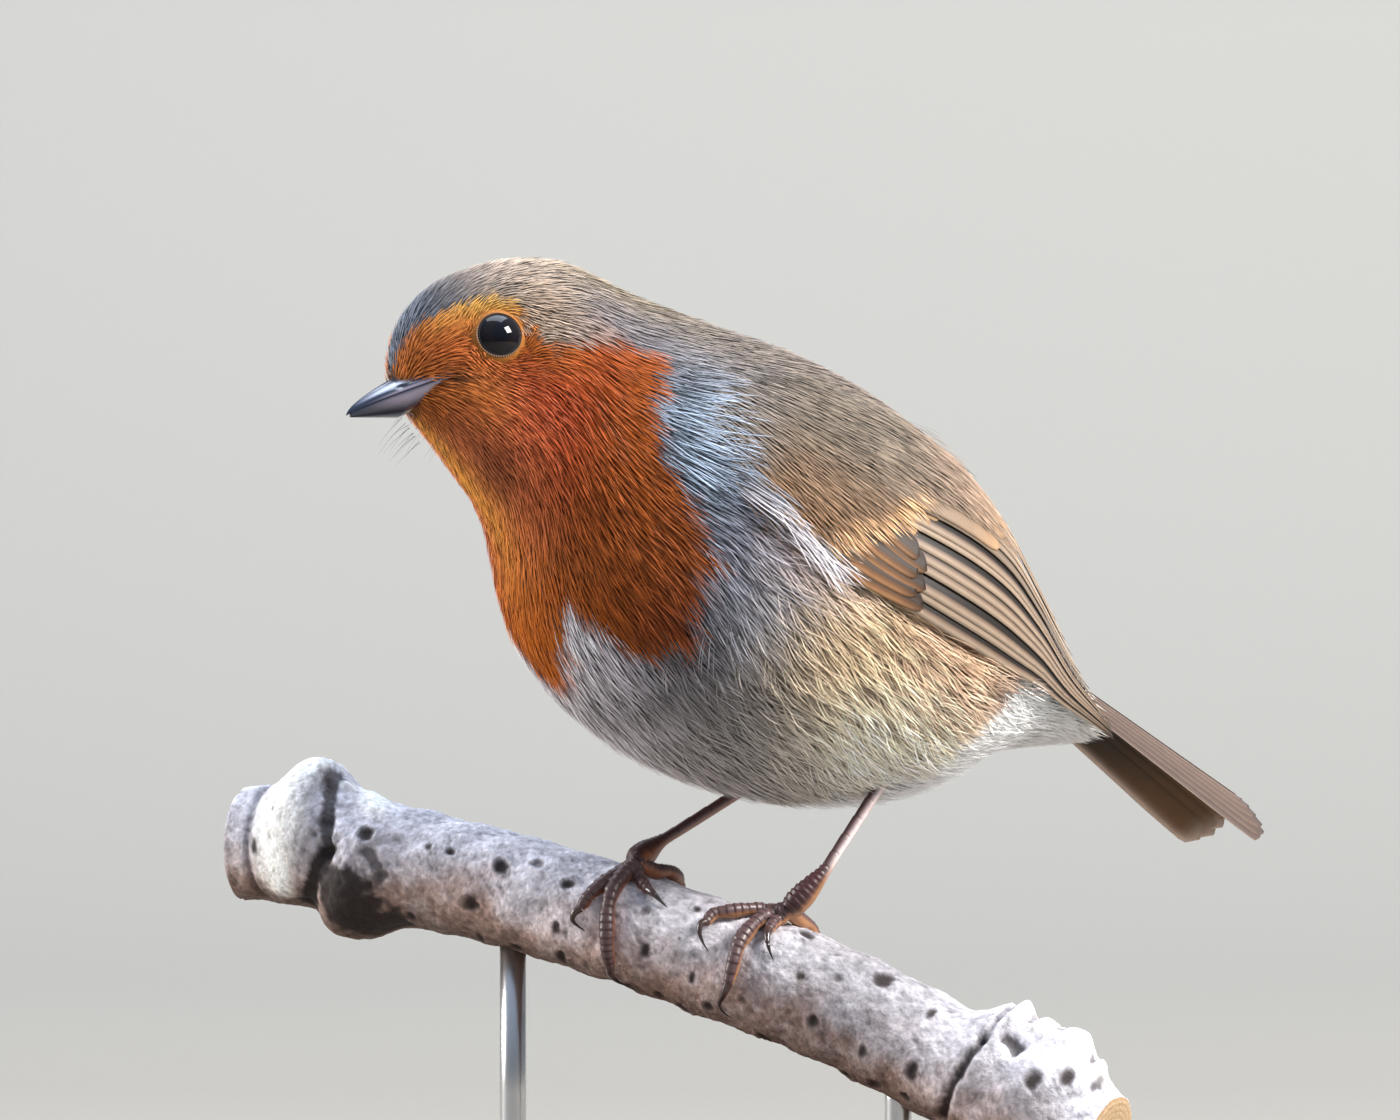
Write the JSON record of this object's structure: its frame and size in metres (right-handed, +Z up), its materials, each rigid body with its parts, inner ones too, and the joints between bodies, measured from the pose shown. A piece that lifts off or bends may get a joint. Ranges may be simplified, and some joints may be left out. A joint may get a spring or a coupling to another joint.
{
  "type": "perched european robin",
  "caption": "Life-size european robin, leaning forward on a cut length of birch branch, held by rods on a round wooden display stand.",
  "frame": {"origin": "centre of the underside of the round stand base", "axes": "+Z up, the bird faces -X, its left side is towards -Y"},
  "size_m": [0.1252, 0.1011, 0.1236],
  "materials": {
    "plumage_head": "soft matt feathers, rust orange face under a blue-grey and olive crown",
    "plumage_neck": "soft matt feathers, rust orange in front and grey-brown behind",
    "plumage_trunk": "soft matt feathers, grey-white belly, buff flanks and olive-brown back",
    "plumage_rump": "soft matt feathers, olive-brown above and white below",
    "wing_coverts": "smooth matt covert feathers, olive-brown with a buff bar",
    "flight_feathers": "smooth flight feathers, dark brown with pale tan outer edges",
    "tail_feathers": "smooth tail feathers, pinkish brown above and dark below",
    "eye": "wet glossy black",
    "bill": "satin blue-black horn, paler mauve-grey along the cutting edge",
    "leg_skin": "reddish-brown scaled skin, satin",
    "claw": "dark brown horn, satin",
    "birch_bark": "pale peeling birch bark with dark breathing pores and rough dark knots",
    "stand_wood": "dark stained turned wood, satin varnish",
    "stand_steel": "brushed steel rod"
  },
  "bodies": {
    "root": {"head": "plumage_head", "neck": "plumage_neck", "trunk": "plumage_trunk", "rump": "plumage_rump", "bill_upper": "bill", "bill_lower": "bill", "eye_left": "eye", "wing_left_coverts": "wing_coverts", "wing_left_secondaries": "flight_feathers", "wing_left_primaries": "flight_feathers", "eye_right": "eye", "wing_right_coverts": "wing_coverts", "wing_right_secondaries": "flight_feathers", "wing_right_primaries": "flight_feathers", "tail": "tail_feathers", "foot_left": "leg_skin", "leg_left": "leg_skin", "claw_left_1": "claw", "claw_left_2": "claw", "claw_left_3": "claw", "claw_left_4": "claw", "foot_right": "leg_skin", "leg_right": "leg_skin", "claw_right_1": "claw", "claw_right_2": "claw", "claw_right_3": "claw", "claw_right_4": "claw", "perch_branch": "birch_bark", "stand_base": "stand_wood", "stand_rod_1": "stand_steel", "stand_rod_2": "stand_steel"}
  },
  "joints": []
}
